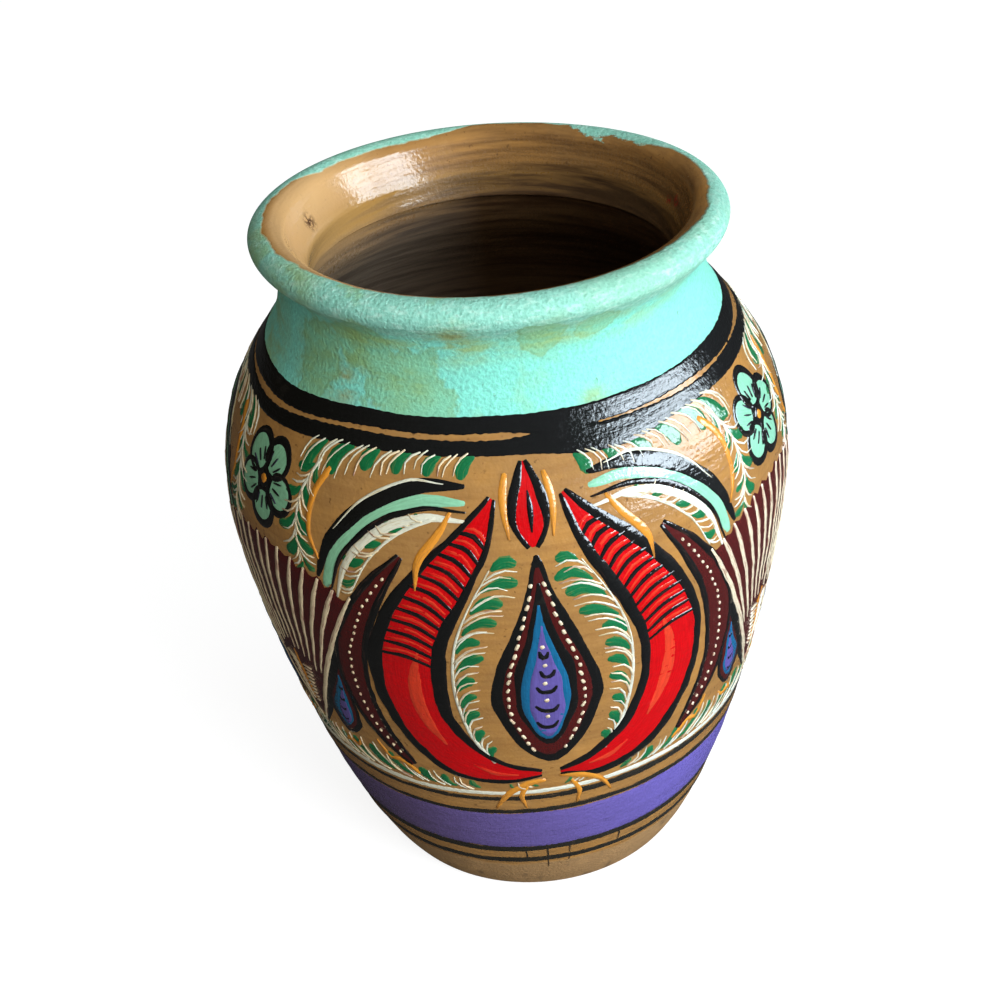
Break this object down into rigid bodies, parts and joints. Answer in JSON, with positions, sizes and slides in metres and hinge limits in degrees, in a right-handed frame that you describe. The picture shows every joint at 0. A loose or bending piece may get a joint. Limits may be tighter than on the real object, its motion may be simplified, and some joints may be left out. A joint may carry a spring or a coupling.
{
  "type": "terracotta vase",
  "caption": "Full-bellied clay vase with a flared neck, a rolled lip and an open mouth, that stands on a flat foot and holds flowers or small things.",
  "frame": {"origin": "centre of the foot's underside, on the surface that the vase stands on", "axes": "+Z is the axis that the vase is turned about, up towards the mouth"},
  "size_m": [0.1392, 0.1392, 0.18],
  "materials": {
    "bare_clay": "bare fired clay, matt",
    "painted_clay": "ochre clay with enamel brush painting under a glossy varnish",
    "turquoise_slip": "matt turquoise paint with a fine grain"
  },
  "bodies": {
    "root": {"floor_disc": "bare_clay", "lower_wall": "painted_clay", "shoulder_wall": "painted_clay", "neck_collar": "turquoise_slip", "rim_bead": "turquoise_slip"}
  },
  "joints": []
}
